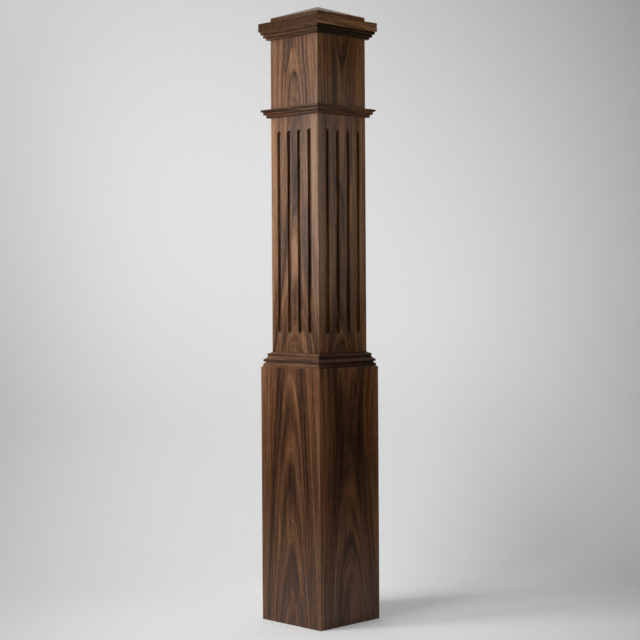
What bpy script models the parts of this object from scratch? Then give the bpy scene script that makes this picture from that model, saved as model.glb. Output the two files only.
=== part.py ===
"""A boxed newel post for a staircase, hollow, of walnut boards mitred round its long edges.

Four fluted boards make the shaft and run the whole height. Four more are wrapped round its foot
as a base, which a moulding finishes. A second moulding makes the neck above the flutes, a third
the crown under the cap board, and a block with a low peak closes the top.
Metres, +Z up, with the origin on the floor at the middle of the foot.
"""

from math import atan, cos, pi, sin, sqrt, tan

import bmesh
import bpy
from mathutils import Matrix, Vector

OBJECT_NAME = "box_newel_post"

# The four sides in order, each a quarter turn on from the last: towards -Y, +X, +Y and -X.
SIDES = ("front", "right", "back", "left")

# Boards and outside widths
BOARD = 0.01875
SHAFT_WIDTH = 0.153
BASE_WIDTH = SHAFT_WIDTH + 2 * BOARD
CAP_WIDTH = 0.1928
PEAK_WIDTH = 0.1526

# Heights above the floor, and the thickness of what lies between them
BASE_TOP = 0.581
BASE_MOULDING_TOP = 0.6144
NECK_BOTTOM = 1.1497
NECK_TOP = 1.1683
CROWN_BOTTOM = 1.3275
CAP_BOTTOM = 1.3462
CAP_THICKNESS = 0.0197
PEAK_EDGE = 0.0122
PEAK_RISE = 0.0259

# Clearance left at every glued face and mitre. Behind a moulding it is a shallow seat in the shaft.
GAP = 0.0003

# Flutes: run with a ball-nosed cutter that is sunk a little less than its radius
FLUTES = 4
FLUTE_SPACING = 0.0328
FLUTE_BOTTOM = 0.6578
FLUTE_TOP = 1.1175
FLUTE_RADIUS = 0.00635
FLUTE_DEPTH = 0.006
FLUTE_SIDES = 24
FLUTE_END_STEPS = 5

# Stepped mouldings: how far each tier stands out from the shaft and how high up it starts
NECK_TIERS = ((0.0075, 0.0), (0.0125, 0.0066), (0.0167, 0.0136))
CROWN_TIERS = ((0.0072, 0.0), (0.0120, 0.0052), (0.0164, 0.0122))
TIER_ROUND = 0.0019
QUARTER_BULGE = tan(pi / 8)

# Base moulding, from the bottom: corners as (out from the shaft, above the base, bulge of the
# stretch that follows). A foot with a rounded shoulder, a groove, a bead, a hollow and a small bead.
BASE_MOULDING = (
    (0.0153, 0.0, 0.0),
    (0.0153, 0.0043, 0.40),
    (0.0118, 0.0081, 0.0),
    (0.0111, 0.0085, 0.0),
    (0.0111, 0.0102, 0.0),
    (0.0122, 0.0108, 0.35),
    (0.0150, 0.0141, 0.30),
    (0.0131, 0.0169, -0.14),
    (0.0070, 0.0241, 0.0),
    (0.0075, 0.0250, 0.30),
    (0.0082, 0.0284, 0.25),
    (0.0032, 0.0309, 0.0),
)
ARC_STEPS = 4

# Colours of the wood, linear, with its varnish as a roughness
SHAFT_COLOUR = (0.205, 0.132, 0.090)
BASE_COLOUR = (0.165, 0.100, 0.064)
MOULDING_COLOUR = (0.190, 0.118, 0.078)
CAP_COLOUR = (0.185, 0.122, 0.084)
VARNISH_ROUGHNESS = 0.42


def clear_scene():
    """Start from an empty file."""
    for item in list(bpy.data.objects):
        bpy.data.objects.remove(item, do_unlink=True)


def new_collection(name):
    """A collection of its own under the scene."""
    collection = bpy.data.collections.new(name)
    bpy.context.scene.collection.children.link(collection)
    return collection


def timber(name, colour):
    """Varnished wood in one plain colour."""
    material = bpy.data.materials.new(name)
    material.use_nodes = True
    shader = material.node_tree.nodes["Principled BSDF"]
    shader.inputs["Base Color"].default_value = (*colour, 1.0)
    shader.inputs["Roughness"].default_value = VARNISH_ROUGHNESS
    shader.inputs["Metallic"].default_value = 0.0
    return material


def bulged(start, end, bulge, steps):
    """Points after start, up to end, on the arc between them.

    The bulge is the arc's height over half its chord. A positive one swells out of an outline
    that runs anticlockwise, and a negative one hollows it.
    """
    if bulge == 0.0:
        return [tuple(end)]
    start, end = Vector(start), Vector(end)
    sweep = 4 * atan(bulge)
    chord = end - start
    across = Vector((-chord.y, chord.x))
    centre = (start + end) / 2 + across / (2 * tan(sweep / 2))
    points = []
    for step in range(1, steps + 1):
        turn = Matrix.Rotation(sweep * step / steps, 2)
        points.append(tuple(centre + turn @ (start - centre)))
    return points


def base_section():
    """The section of a base board, as (out from the axis, height) points."""
    inside, outside = SHAFT_WIDTH / 2 + GAP, BASE_WIDTH / 2
    return [(inside, 0.0), (outside, 0.0), (outside, BASE_TOP), (inside, BASE_TOP)]


def shaft_section():
    """The section of a shaft board, with a seat for each moulding that is glued on its face."""
    wall = SHAFT_WIDTH / 2
    inside, seat = wall - BOARD, wall - GAP
    outline = [(inside, 0.0), (wall, 0.0)]
    for low, high in ((BASE_TOP, BASE_MOULDING_TOP + GAP), (NECK_BOTTOM - GAP, NECK_TOP + GAP)):
        outline += [(wall, low), (seat, low), (seat, high), (wall, high)]
    crown_seat, top = CROWN_BOTTOM - GAP, CAP_BOTTOM - GAP
    outline += [(wall, crown_seat), (seat, crown_seat), (seat, top), (inside, top)]
    return outline


def moulding_outline(corners, bottom, top):
    """The section of a moulding that lies against the shaft, from its corners and bulges."""
    wall = SHAFT_WIDTH / 2
    outline = [(wall, bottom)]
    start, bulge = outline[0], 0.0
    for out, up, next_bulge in corners:
        end = (wall + out, bottom + up)
        outline += bulged(start, end, bulge, ARC_STEPS)
        start, bulge = end, next_bulge
    outline.append((wall, top))
    return outline


def stepped_corners(tiers, height):
    """Corners and bulges of a stepped moulding, each tier rounded under its face."""
    tops = [up for _, up in tiers[1:]] + [height]
    corners = []
    for (out, up), tier_top in zip(tiers, tops):
        corners.append((out - TIER_ROUND, up, QUARTER_BULGE))
        corners.append((out, up + TIER_ROUND, 0.0))
        corners.append((out, tier_top, 0.0))
    return corners


def stepped_outline(tiers, bottom, top):
    """The section of a stepped moulding."""
    return moulding_outline(stepped_corners(tiers, top - bottom), bottom, top)


def flat_shape(name, outline, thickness):
    """A flat outline given its thickness, as a mesh with its rim welded."""
    curve = bpy.data.curves.new(name, "CURVE")
    curve.dimensions = "2D"
    curve.fill_mode = "BOTH"
    curve.extrude = thickness / 2
    spline = curve.splines.new("POLY")
    spline.points.add(len(outline) - 1)
    for point, (x, y) in zip(spline.points, outline):
        point.co = (x, y, 0, 1)
    spline.use_cyclic_u = True
    holder = bpy.data.objects.new(name, curve)
    bpy.context.scene.collection.objects.link(holder)
    shape = holder.evaluated_get(bpy.context.evaluated_depsgraph_get())
    mesh = bpy.data.meshes.new_from_object(shape)
    bpy.data.objects.remove(holder)
    return mesh


def mitred_side(name, outline):
    """The front side of a square frame: its section run along X and mitred at both ends."""
    longest = max(out for out, _ in outline)
    mesh = flat_shape(name, outline, 2 * longest)
    solid = bmesh.new()
    solid.from_mesh(mesh)
    bmesh.ops.remove_doubles(solid, verts=solid.verts, dist=GAP / 10)
    # Out of the axis becomes -Y, up stays up, and the length lies along X.
    stand = Matrix(((0, 0, -1, 0), (-1, 0, 0, 0), (0, 1, 0, 0), (0, 0, 0, 1)))
    bmesh.ops.transform(solid, matrix=stand, verts=solid.verts)
    for end in (1, -1):
        bmesh.ops.bisect_plane(
            solid,
            geom=solid.verts[:] + solid.edges[:] + solid.faces[:],
            plane_co=(-end * GAP / sqrt(2), 0, 0),
            plane_no=(end, 1, 0),
            clear_outer=True,
        )
        rim = [edge for edge in solid.edges if edge.is_boundary]
        bmesh.ops.contextual_create(solid, geom=rim)
    bmesh.ops.recalc_face_normals(solid, faces=solid.faces)
    solid.to_mesh(mesh)
    solid.free()
    return mesh


def turned_bar(name, radius, length, collection):
    """A round bar with ball ends, upright, turned from a profile."""
    straight = length / 2 - radius
    profile = [(0.0, straight + radius)]
    for step in range(1, FLUTE_END_STEPS + 1):
        angle = pi / 2 * (1 - step / FLUTE_END_STEPS)
        profile.append((radius * cos(angle), straight + radius * sin(angle)))
    profile += [(out, -up) for out, up in reversed(profile)]
    mesh = bpy.data.meshes.new(name)
    edges = [(i, i + 1) for i in range(len(profile) - 1)]
    mesh.from_pydata([(out, 0.0, up) for out, up in profile], edges, [])
    bar = bpy.data.objects.new(name, mesh)
    collection.objects.link(bar)
    turn = bar.modifiers.new("turn", "SCREW")
    turn.steps = FLUTE_SIDES
    turn.render_steps = FLUTE_SIDES
    turn.use_merge_vertices = True
    turn.merge_threshold = 0.00001
    return bar


def fluted_board(cutters):
    """The front shaft board with its flutes cut, as a mesh."""
    face = SHAFT_WIDTH / 2
    mesh = mitred_side("shaft_board", shaft_section())
    board = bpy.data.objects.new("uncut_board", mesh)
    bpy.context.scene.collection.objects.link(board)
    # The cutter's axis stands off the face, and its round end overruns the flute's by a little.
    stand_off = FLUTE_RADIUS - FLUTE_DEPTH
    half_width = sqrt(FLUTE_RADIUS**2 - stand_off**2)
    length = FLUTE_TOP - FLUTE_BOTTOM + 2 * (FLUTE_RADIUS - half_width)
    for number in range(FLUTES):
        bar = turned_bar(f"flute_cutter_{number + 1}", FLUTE_RADIUS, length, cutters)
        across = (number - (FLUTES - 1) / 2) * FLUTE_SPACING
        bar.location = (across, -face - stand_off, (FLUTE_TOP + FLUTE_BOTTOM) / 2)
        bar.hide_render = True
        bar.display_type = "WIRE"
        cut = board.modifiers.new(f"flute_{number + 1}", "BOOLEAN")
        cut.operation = "DIFFERENCE"
        cut.solver = "EXACT"
        cut.object = bar
    bpy.context.view_layer.update()
    cut_board = board.evaluated_get(bpy.context.evaluated_depsgraph_get())
    fluted = bpy.data.meshes.new_from_object(cut_board)
    fluted.name = "fluted_board"
    bpy.data.objects.remove(board)
    return fluted


def square_block(name, width, height, rise=0.0):
    """A flat square block from height zero up, with its top drawn up to a peak by the rise."""
    solid = bmesh.new()
    bmesh.ops.create_cube(solid, size=1.0)
    bmesh.ops.scale(solid, vec=(width, width, height), verts=solid.verts)
    bmesh.ops.translate(solid, vec=(0, 0, height / 2), verts=solid.verts)
    if rise:
        top = [face for face in solid.faces if face.normal.z > 0.9]
        bmesh.ops.poke(solid, faces=top, offset=rise)
    mesh = bpy.data.meshes.new(name)
    solid.to_mesh(mesh)
    solid.free()
    return mesh


def place(name, mesh, material, collection, parent, height=0.0, turn=0.0):
    """Put one named piece in the post."""
    piece = bpy.data.objects.new(name, mesh)
    mesh.materials.clear()
    mesh.materials.append(material)
    piece.location.z = height
    piece.rotation_euler.z = turn
    piece.parent = parent
    collection.objects.link(piece)
    return piece


def main():
    clear_scene()
    parts = new_collection(OBJECT_NAME)
    cutters = new_collection("cutters")
    post = bpy.data.objects.new("post_axis", None)
    parts.objects.link(post)

    shaft_wood = timber("shaft_walnut", SHAFT_COLOUR)
    base_wood = timber("base_walnut", BASE_COLOUR)
    moulding_wood = timber("moulding_walnut", MOULDING_COLOUR)
    cap_wood = timber("cap_walnut", CAP_COLOUR)

    base_moulding = moulding_outline(BASE_MOULDING, BASE_TOP + GAP, BASE_MOULDING_TOP)
    neck_moulding = stepped_outline(NECK_TIERS, NECK_BOTTOM, NECK_TOP)
    crown_moulding = stepped_outline(CROWN_TIERS, CROWN_BOTTOM, CAP_BOTTOM - GAP)
    frames = (
        ("shaft_board", fluted_board(cutters), shaft_wood),
        ("base_board", mitred_side("base_board", base_section()), base_wood),
        ("base_moulding", mitred_side("base_moulding", base_moulding), moulding_wood),
        ("neck_moulding", mitred_side("neck_moulding", neck_moulding), moulding_wood),
        ("crown_moulding", mitred_side("crown_moulding", crown_moulding), moulding_wood),
    )
    for kind, mesh, wood in frames:
        for number, side in enumerate(SIDES):
            place(f"{kind}_{side}", mesh, wood, parts, post, turn=number * pi / 2)

    cap = square_block("cap_board", CAP_WIDTH, CAP_THICKNESS - GAP)
    place("cap_board", cap, cap_wood, parts, post, height=CAP_BOTTOM)
    peak = square_block("peaked_block", PEAK_WIDTH, PEAK_EDGE, PEAK_RISE)
    place("peaked_block", peak, cap_wood, parts, post, height=CAP_BOTTOM + CAP_THICKNESS)


main()
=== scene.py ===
# %% [markdown]
# # A boxed newel post in walnut
# A newel post stands at the foot of a staircase and takes the handrail. This one is a box: four
# boards are mitred along their long edges and glued round a hollow, and four more are wrapped
# round the foot as a base. Mouldings cover the joints, and a cap with a low peak closes the top.
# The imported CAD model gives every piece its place, in metres, with the floor at height zero. Each
# piece is made again below, finer, in the place of its CAD solid.

# %% Load the frame
from collections import namedtuple
from math import atan, cos, pi, radians, sin, sqrt, tan

import bmesh
import bpy
from mathutils import Matrix, Vector


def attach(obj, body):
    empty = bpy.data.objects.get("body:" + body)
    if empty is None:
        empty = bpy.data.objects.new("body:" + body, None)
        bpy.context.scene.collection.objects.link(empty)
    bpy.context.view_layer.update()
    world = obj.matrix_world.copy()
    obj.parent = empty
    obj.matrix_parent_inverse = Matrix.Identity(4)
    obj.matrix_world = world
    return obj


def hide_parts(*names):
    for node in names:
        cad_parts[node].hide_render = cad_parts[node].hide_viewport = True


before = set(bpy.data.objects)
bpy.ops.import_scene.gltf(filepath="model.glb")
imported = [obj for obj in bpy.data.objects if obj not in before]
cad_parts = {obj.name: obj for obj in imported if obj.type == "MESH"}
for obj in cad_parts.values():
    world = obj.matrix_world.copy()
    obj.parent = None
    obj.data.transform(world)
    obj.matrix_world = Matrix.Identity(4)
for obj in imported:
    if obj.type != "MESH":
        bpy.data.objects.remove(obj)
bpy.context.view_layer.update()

# %% [markdown]
# ## Sizes
# A joiner works from a rod, a board with every height and width marked on it. These are the marks
# for this post, the same as in the CAD model, so that each new piece fills the space of its solid.
# A glued joint is a gap of 0.3 mm, which keeps the solids apart in a collision.

# %% Marks of the rod, in metres
SIDES = ("front", "right", "back", "left")
BOARD = 0.01875
SHAFT_FACE = 0.153 / 2
BASE_FACE = SHAFT_FACE + BOARD
BASE_TOP = 0.581
BASE_MOULDING_TOP = 0.6144
NECK_BOTTOM = 1.1497
NECK_TOP = 1.1683
CROWN_BOTTOM = 1.3275
SHAFT_TOP = 1.3459
JOINT = 0.0003
MITRE_GAP = 0.00003
print(f"shaft {2 * SHAFT_FACE * 1000:.1f} mm wide, base {2 * BASE_FACE * 1000:.1f} mm")

# %% [markdown]
# ## Small helpers
# Blender's operators act on whatever is selected, so each step begins with a clean selection and
# picks faces, edges or corners by where they are. The script then says "the two long edges
# outside" and not "edges 4 and 7".

# %% Selecting and tidying
CLOSE = 0.00001
STRAIGHT = 0.000001


def edit_mode(on):
    """Go into edit mode, or come out of it."""
    bpy.ops.object.mode_set(mode="EDIT" if on else "OBJECT")


def nothing_selected():
    """Leave edit mode and deselect every object."""
    if bpy.context.object and bpy.context.object.mode != "OBJECT":
        edit_mode(False)
    bpy.ops.object.select_all(action="DESELECT")


def work_on(piece):
    """Make one object the only one selected, and active."""
    nothing_selected()
    piece.select_set(True)
    bpy.context.view_layer.objects.active = piece


def pick(kind, wanted):
    """In edit mode, select just the corners, edges or faces that pass a test."""
    bpy.ops.mesh.select_mode(type=kind)
    bpy.ops.mesh.select_all(action="DESELECT")
    mesh = bmesh.from_edit_mesh(bpy.context.object.data)
    pool = {"VERT": mesh.verts, "EDGE": mesh.edges, "FACE": mesh.faces}[kind]
    chosen = [element for element in pool if wanted(element)]
    for element in chosen:
        element.select_set(True)
    mesh.select_flush_mode()
    bmesh.update_edit_mesh(bpy.context.object.data)
    return len(chosen)


def settle():
    """Write the object's place, turn and size into its mesh, so that it sits at the origin."""
    bpy.ops.object.transform_apply(location=True, rotation=True, scale=True)


def cube_between(name, low, high):
    """A cube stretched between two corners."""
    nothing_selected()
    low, high = Vector(low), Vector(high)
    bpy.ops.mesh.primitive_cube_add(size=1, location=(low + high) / 2, scale=high - low)
    settle()
    bpy.context.object.name = name
    return bpy.context.object


def upright(edge):
    """Whether an edge stands straight up."""
    start, end = (corner.co for corner in edge.verts)
    return abs(start.x - end.x) < STRAIGHT and abs(start.y - end.y) < STRAIGHT


def near(value, target):
    """Whether a length is the wanted one, to a hundredth of a millimetre."""
    return abs(value - target) < CLOSE


# %% [markdown]
# ## Mitres
# The boards meet at 45 degrees, so that no end shows. On the real post a tilted saw makes the cut.
# Here the board starts too long, and a bisecting plane takes off each end and fills the cut. It
# stands back by a hair from the true diagonal, which leaves the fine line of a glued joint.

# %% Mitre and smooth
FLAT_ANGLE = 40
CUT_PRECISION = 0.0000001


def mitre_both_ends():
    """In edit mode, cut both ends of the front piece at 45 degrees."""
    for end in (1, -1):
        bpy.ops.mesh.select_mode(type="VERT")
        bpy.ops.mesh.select_all(action="SELECT")
        bpy.ops.mesh.bisect(
            plane_co=(-end * MITRE_GAP, 0, 0),
            plane_no=(end, 1, 0),
            use_fill=True,
            clear_outer=True,
            threshold=CUT_PRECISION,
        )


def smooth_rounds(piece):
    """Shade the rounds smooth and keep the flats flat, with normals that lean to the large faces."""
    work_on(piece)
    bpy.ops.object.shade_smooth_by_angle(angle=radians(FLAT_ANGLE))
    bpy.ops.object.modifier_add(type="WEIGHTED_NORMAL")
    weighted = piece.modifiers[-1]
    weighted.keep_sharp = True
    weighted.weight = 100
    bpy.ops.object.modifier_apply(modifier=weighted.name)


# %% [markdown]
# ## Base boards
# A board is a cube at its size and place. Its two outer long edges and its top edge get a small
# round, as from a sanding block, before the mitres are cut, so each board carries half of the
# round at its corner.

# %% Front base board
ARRIS = 0.0012
ARRIS_STEPS = 8
END_ROUND = 0.0006
END_STEPS = 3


def plain_board(name, inside, outside, bottom, top, corner_round, end_round):
    """The front board of a box, with rounded outer edges and mitred ends."""
    board = cube_between(name, (-outside, -outside, bottom), (outside, -inside, top))
    edit_mode(True)
    pick("EDGE", lambda e: upright(e) and near(e.verts[0].co.y, -outside))
    bpy.ops.mesh.bevel(offset=corner_round, segments=ARRIS_STEPS, affect="EDGES")
    if end_round:
        behind_round = -outside + corner_round + CLOSE
        pick("EDGE", lambda e: all(near(v.co.z, top) and v.co.y < behind_round for v in e.verts))
        bpy.ops.mesh.bevel(offset=end_round, segments=END_STEPS, affect="EDGES")
    mitre_both_ends()
    edit_mode(False)
    return board


base_board = plain_board("base_board", SHAFT_FACE + JOINT, BASE_FACE, 0.0, BASE_TOP, ARRIS, END_ROUND)
print(f"base board: {len(base_board.data.polygons)} faces")

# %% [markdown]
# ## Fluted shaft boards
# Each side of the shaft has four flutes, run with a ball-nosed cutter sunk a little less than its
# radius. The cutter's sweep is a bar with ball ends: the halves of a sphere are drawn apart, and
# the gap is bridged. One Boolean cuts four such bars from the board, and the rims are eased.

# %% Flute cutters
FLUTES = 4
FLUTE_SPACING = 0.0328
FLUTE_BOTTOM = 0.6578
FLUTE_TOP = 1.1175
CUTTER_RADIUS = 0.00635
CUTTER_DEPTH = 0.006
CUTTER_SIDES = 48
stand_off = CUTTER_RADIUS - CUTTER_DEPTH
half_width = sqrt(CUTTER_RADIUS**2 - stand_off**2)
reach = (FLUTE_TOP - FLUTE_BOTTOM) / 2 - half_width
middle = (FLUTE_TOP + FLUTE_BOTTOM) / 2

nothing_selected()
bpy.ops.mesh.primitive_uv_sphere_add(
    segments=CUTTER_SIDES,
    ring_count=CUTTER_SIDES // 2,
    radius=CUTTER_RADIUS,
    location=(-(FLUTES - 1) / 2 * FLUTE_SPACING, -SHAFT_FACE - stand_off, middle),
)
settle()
cutter = bpy.context.object
cutter.name = "flute_cutter"
edit_mode(True)
pick("FACE", lambda f: f.calc_center_median().z > middle)
bpy.ops.mesh.split()
bpy.ops.transform.translate(value=(0, 0, reach))
pick("FACE", lambda f: f.calc_center_median().z < middle)
bpy.ops.transform.translate(value=(0, 0, -reach))
pick("EDGE", lambda e: e.is_boundary)
bpy.ops.mesh.bridge_edge_loops()
bpy.ops.mesh.select_all(action="SELECT")
for _ in range(FLUTES - 1):
    bpy.ops.mesh.duplicate_move(TRANSFORM_OT_translate={"value": (FLUTE_SPACING, 0, 0)})
edit_mode(False)
print(f"cutter: {len(cutter.data.polygons)} faces, {cutter.dimensions.x:.4f} m across")

# %% Front shaft board
RIM_ROUND = 0.0003
RIM_STEPS = 3
FACING_OUT = 0.9999

shaft_board = plain_board("shaft_board", SHAFT_FACE - BOARD, SHAFT_FACE, 0.0, SHAFT_TOP, ARRIS, 0.0)
work_on(shaft_board)
bpy.ops.object.modifier_add(type="BOOLEAN")
cut = shaft_board.modifiers[-1]
cut.operation = "DIFFERENCE"
cut.solver = "EXACT"
cut.object = cutter
bpy.ops.object.modifier_apply(modifier=cut.name)
bpy.data.objects.remove(cutter)


def on_flute_rim(edge):
    """Whether an edge lies between the board's face and a flute."""
    if len(edge.link_faces) != 2 or not all(near(v.co.y, -SHAFT_FACE) for v in edge.verts):
        return False
    flat = [face.normal.y < -FACING_OUT for face in edge.link_faces]
    inside = all(abs(v.co.x) < SHAFT_FACE - 2 * ARRIS and v.co.z > FLUTE_BOTTOM - ARRIS for v in edge.verts)
    return flat[0] != flat[1] and inside and edge.verts[0].co.z < FLUTE_TOP + ARRIS


edit_mode(True)
rim_edges = pick("EDGE", on_flute_rim)
bpy.ops.mesh.bevel(offset=RIM_ROUND, segments=RIM_STEPS, affect="EDGES", clamp_overlap=True)
edit_mode(False)
print(f"shaft board: {rim_edges} rim edges eased, {len(shaft_board.data.polygons)} faces")

# %% [markdown]
# ## Mouldings
# A moulding is one section run along the piece. An edge as long as the side is extruded from one
# corner of the section to the next, and the back of the sheet is closed. Hollows and rounds are
# arcs, given as a bulge: the arc's height over half its chord. Sharp corners are taken off a
# little, because a sanded moulding always catches the light there.

# %% Run a moulding
ARC_STEPS = 8
SHARP_CORNER = 30
EASING_STEPS = 2


def bulged(start, end, bulge):
    """Points after start, up to end, on the arc between them."""
    if bulge == 0.0:
        return [Vector(end)]
    start, end = Vector(start), Vector(end)
    sweep = 4 * atan(bulge)
    chord = end - start
    centre = (start + end) / 2 + Vector((-chord.y, chord.x)) / (2 * tan(sweep / 2))
    turns = [Matrix.Rotation(sweep * step / ARC_STEPS, 2) for step in range(1, ARC_STEPS + 1)]
    return [centre + turn @ (start - centre) for turn in turns]


def run_moulding(name, corners, bottom, top, easing):
    """The front piece of a moulding round the shaft, with mitred ends."""
    section = [Vector((0.0, bottom))]
    bulge = 0.0
    for out, up, next_bulge in corners:
        section += bulged(section[-1], (out, bottom + up), bulge)
        bulge = next_bulge
    section.append(Vector((0.0, top)))
    length = 2 * (SHAFT_FACE + max(point.x for point in section)) + 2 * BOARD

    nothing_selected()
    bpy.ops.mesh.primitive_plane_add(size=length, location=(0, -SHAFT_FACE, bottom))
    settle()
    piece = bpy.context.object
    piece.name = name
    edit_mode(True)
    pick("VERT", lambda v: v.co.y > -SHAFT_FACE)
    bpy.ops.mesh.delete(type="VERT")
    bpy.ops.mesh.select_all(action="SELECT")
    bpy.ops.transform.translate(value=(0, length / 2, 0))
    for start, end in zip(section, section[1:]):
        step = end - start
        bpy.ops.mesh.extrude_region_move(TRANSFORM_OT_translate={"value": (0, -step.x, step.y)})
    pick(
        "EDGE",
        lambda e: e.is_boundary and not upright(e) and all(near(v.co.y, -SHAFT_FACE) for v in e.verts),
    )
    bpy.ops.mesh.edge_face_add()
    bpy.ops.mesh.select_all(action="SELECT")
    bpy.ops.mesh.normals_make_consistent(inside=False)
    pick(
        "EDGE",
        lambda e: len(e.link_faces) == 2
        and e.is_convex
        and e.calc_face_angle() > radians(SHARP_CORNER)
        and e.verts[0].co.y < -SHAFT_FACE - CLOSE,
    )
    bpy.ops.mesh.bevel(offset=easing, segments=EASING_STEPS, affect="EDGES", clamp_overlap=True)
    mitre_both_ends()
    edit_mode(False)
    return piece


# %% [markdown]
# ### The three mouldings
# The base moulding has, from the bottom, a foot with a rounded shoulder, a groove, a bead, a long
# hollow and a small bead. The neck and crown mouldings are three steps, rounded underneath.

# %% Base, neck and crown
# Each corner: how far out of the shaft's face, how far up from the foot, and the bulge to the next.
BASE_MOULDING = (
    (0.0153, 0.0, 0.0),
    (0.0153, 0.0043, 0.40),
    (0.0118, 0.0081, 0.0),
    (0.0111, 0.0085, 0.0),
    (0.0111, 0.0102, 0.0),
    (0.0122, 0.0108, 0.35),
    (0.0150, 0.0141, 0.30),
    (0.0131, 0.0169, -0.14),
    (0.0070, 0.0241, 0.0),
    (0.0075, 0.0250, 0.30),
    (0.0082, 0.0284, 0.25),
    (0.0032, 0.0309, 0.0),
)
# Each tier: how far out, and how far up it starts.
NECK_TIERS = ((0.0075, 0.0), (0.0125, 0.0066), (0.0167, 0.0136))
CROWN_TIERS = ((0.0072, 0.0), (0.0120, 0.0052), (0.0164, 0.0122))
TIER_ROUND = 0.0019
QUARTER_BULGE = tan(pi / 8)
STEP_EASING = 0.0003
BEAD_EASING = 0.00015


def steps_of(tiers, height):
    """Corners of a stepped moulding, from its tiers."""
    tops = [up for _, up in tiers[1:]] + [height]
    corners = []
    for (out, up), tier_top in zip(tiers, tops):
        corners += [(out - TIER_ROUND, up, QUARTER_BULGE), (out, up + TIER_ROUND, 0.0), (out, tier_top, 0.0)]
    return corners


neck_steps = steps_of(NECK_TIERS, NECK_TOP - NECK_BOTTOM)
crown_steps = steps_of(CROWN_TIERS, SHAFT_TOP - CROWN_BOTTOM)
base_moulding = run_moulding(
    "base_moulding", BASE_MOULDING, BASE_TOP + JOINT, BASE_MOULDING_TOP, BEAD_EASING
)
neck_moulding = run_moulding("neck_moulding", neck_steps, NECK_BOTTOM, NECK_TOP, STEP_EASING)
crown_moulding = run_moulding("crown_moulding", crown_steps, CROWN_BOTTOM, SHAFT_TOP, STEP_EASING)
for piece in (base_moulding, neck_moulding, crown_moulding):
    print(f"{piece.name}: {len(piece.data.polygons)} faces, {piece.dimensions.x * 1000:.1f} mm long")

# %% [markdown]
# ## Cap
# A flat board covers the crown, and a thinner block with a low peak sits on it. Both start as
# cubes. Poking the block's top face puts a corner in its middle, raised to the peak. All their
# edges are eased.

# %% Cap board and peaked block
CAP_HALF = 0.1928 / 2
CAP_BOTTOM = 1.3462
CAP_TOP = CAP_BOTTOM + 0.0197 - JOINT
PEAK_HALF = 0.1526 / 2
PEAK_BOTTOM = CAP_TOP + JOINT
PEAK_EDGE = PEAK_BOTTOM + 0.0122
PEAK_RISE = 0.0259
CAP_ROUND = 0.0007
CAP_ROUND_STEPS = 4
FLATTEST_CORNER = 5


def square_slab(name, half, bottom, top):
    """A square board that lies flat on the post's middle."""
    return cube_between(name, (-half, -half, bottom), (half, half, top))


cap_board = square_slab("cap_board_top", CAP_HALF, CAP_BOTTOM, CAP_TOP)
edit_mode(True)
bpy.ops.mesh.select_all(action="SELECT")
bpy.ops.mesh.bevel(offset=CAP_ROUND, segments=CAP_ROUND_STEPS, affect="EDGES")
edit_mode(False)

peaked_block = square_slab("peaked_block_top", PEAK_HALF, PEAK_BOTTOM, PEAK_EDGE)
edit_mode(True)
pick("FACE", lambda f: f.normal.z > FACING_OUT)
bpy.ops.mesh.poke(offset=PEAK_RISE)
pick("EDGE", lambda e: e.calc_face_angle() > radians(FLATTEST_CORNER))
bpy.ops.mesh.bevel(offset=CAP_ROUND, segments=CAP_ROUND_STEPS, affect="EDGES")
edit_mode(False)
for piece in (cap_board, peaked_block):
    print(f"{piece.name}: {len(piece.data.polygons)} faces")

# %% [markdown]
# ## Walnut
# Year rings are tubes round the heart of the tree, and a flat face cuts them in long arches,
# because the trunk is never quite parallel to the saw. Arches painted on each face would not meet
# at the corners. So the grain is worked out as it grows: the distance of each point from a heart
# line gives the rings, and every face then shows the figure that its own cut gives.

# %% Node helpers
NOWHERE = (0.0, 0.0, 0.0)
WHITE = (1, 1, 1, 1)


def new_group(name, inputs, outputs):
    """A shader node group, with what its input node gives and its output node."""
    group = bpy.data.node_groups.new(name, "ShaderNodeTree")
    for label, value in inputs.items():
        kind = {NOWHERE: "Vector", WHITE: "Color"}.get(value, "Float")
        socket = group.interface.new_socket(label, in_out="INPUT", socket_type=f"NodeSocket{kind}")
        socket.default_value = value
    for label, kind in outputs.items():
        group.interface.new_socket(label, in_out="OUTPUT", socket_type=f"NodeSocket{kind}")
    return group, group.nodes.new("NodeGroupInput").outputs, group.nodes.new("NodeGroupOutput")


def feed(tree, socket, source):
    """Link an output to a socket, or set the socket to a plain value."""
    if isinstance(source, bpy.types.NodeSocket):
        tree.links.new(source, socket)
    else:
        socket.default_value = source


def fill(tree, node, **sources):
    """Feed a node's sockets by name, with a low line in place of each space."""
    for label, source in sources.items():
        feed(tree, node.inputs[label.replace("_", " ")], source)
    return node


def add_node(tree, kind, sources=(), **settings):
    """A node with its settings, fed by links or plain values in the order of its sockets."""
    made = tree.nodes.new(f"ShaderNode{kind}")
    for key, value in settings.items():
        setattr(made, key, value)
    for socket, source in zip(made.inputs, sources):
        feed(tree, socket, source)
    return made


def maths(tree, operation, *sources):
    """The result of one sum on numbers."""
    return add_node(tree, "Math", sources, operation=operation).outputs[0]


def on_vectors(tree, operation, *sources):
    """The result of one sum on vectors, a vector or a number."""
    results = add_node(tree, "VectorMath", sources, operation=operation).outputs
    return results["Value" if operation in ("LENGTH", "DOT_PRODUCT") else "Vector"]


# %% [markdown]
# ### Noise and ranges
# Everything in wood is drawn out along the grain. So a cloud, a noise in millimetres inside the
# wood, has a wavelength of its own across, deep and along. A row of values varies along a single
# length, a range turns a stretch of values into a mask, and a ramp turns a value into a colour.

# %% Clouds, rows, ranges and ramps
MIDDLE_GREY = (0.5, 0.5, 0.5)


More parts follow.
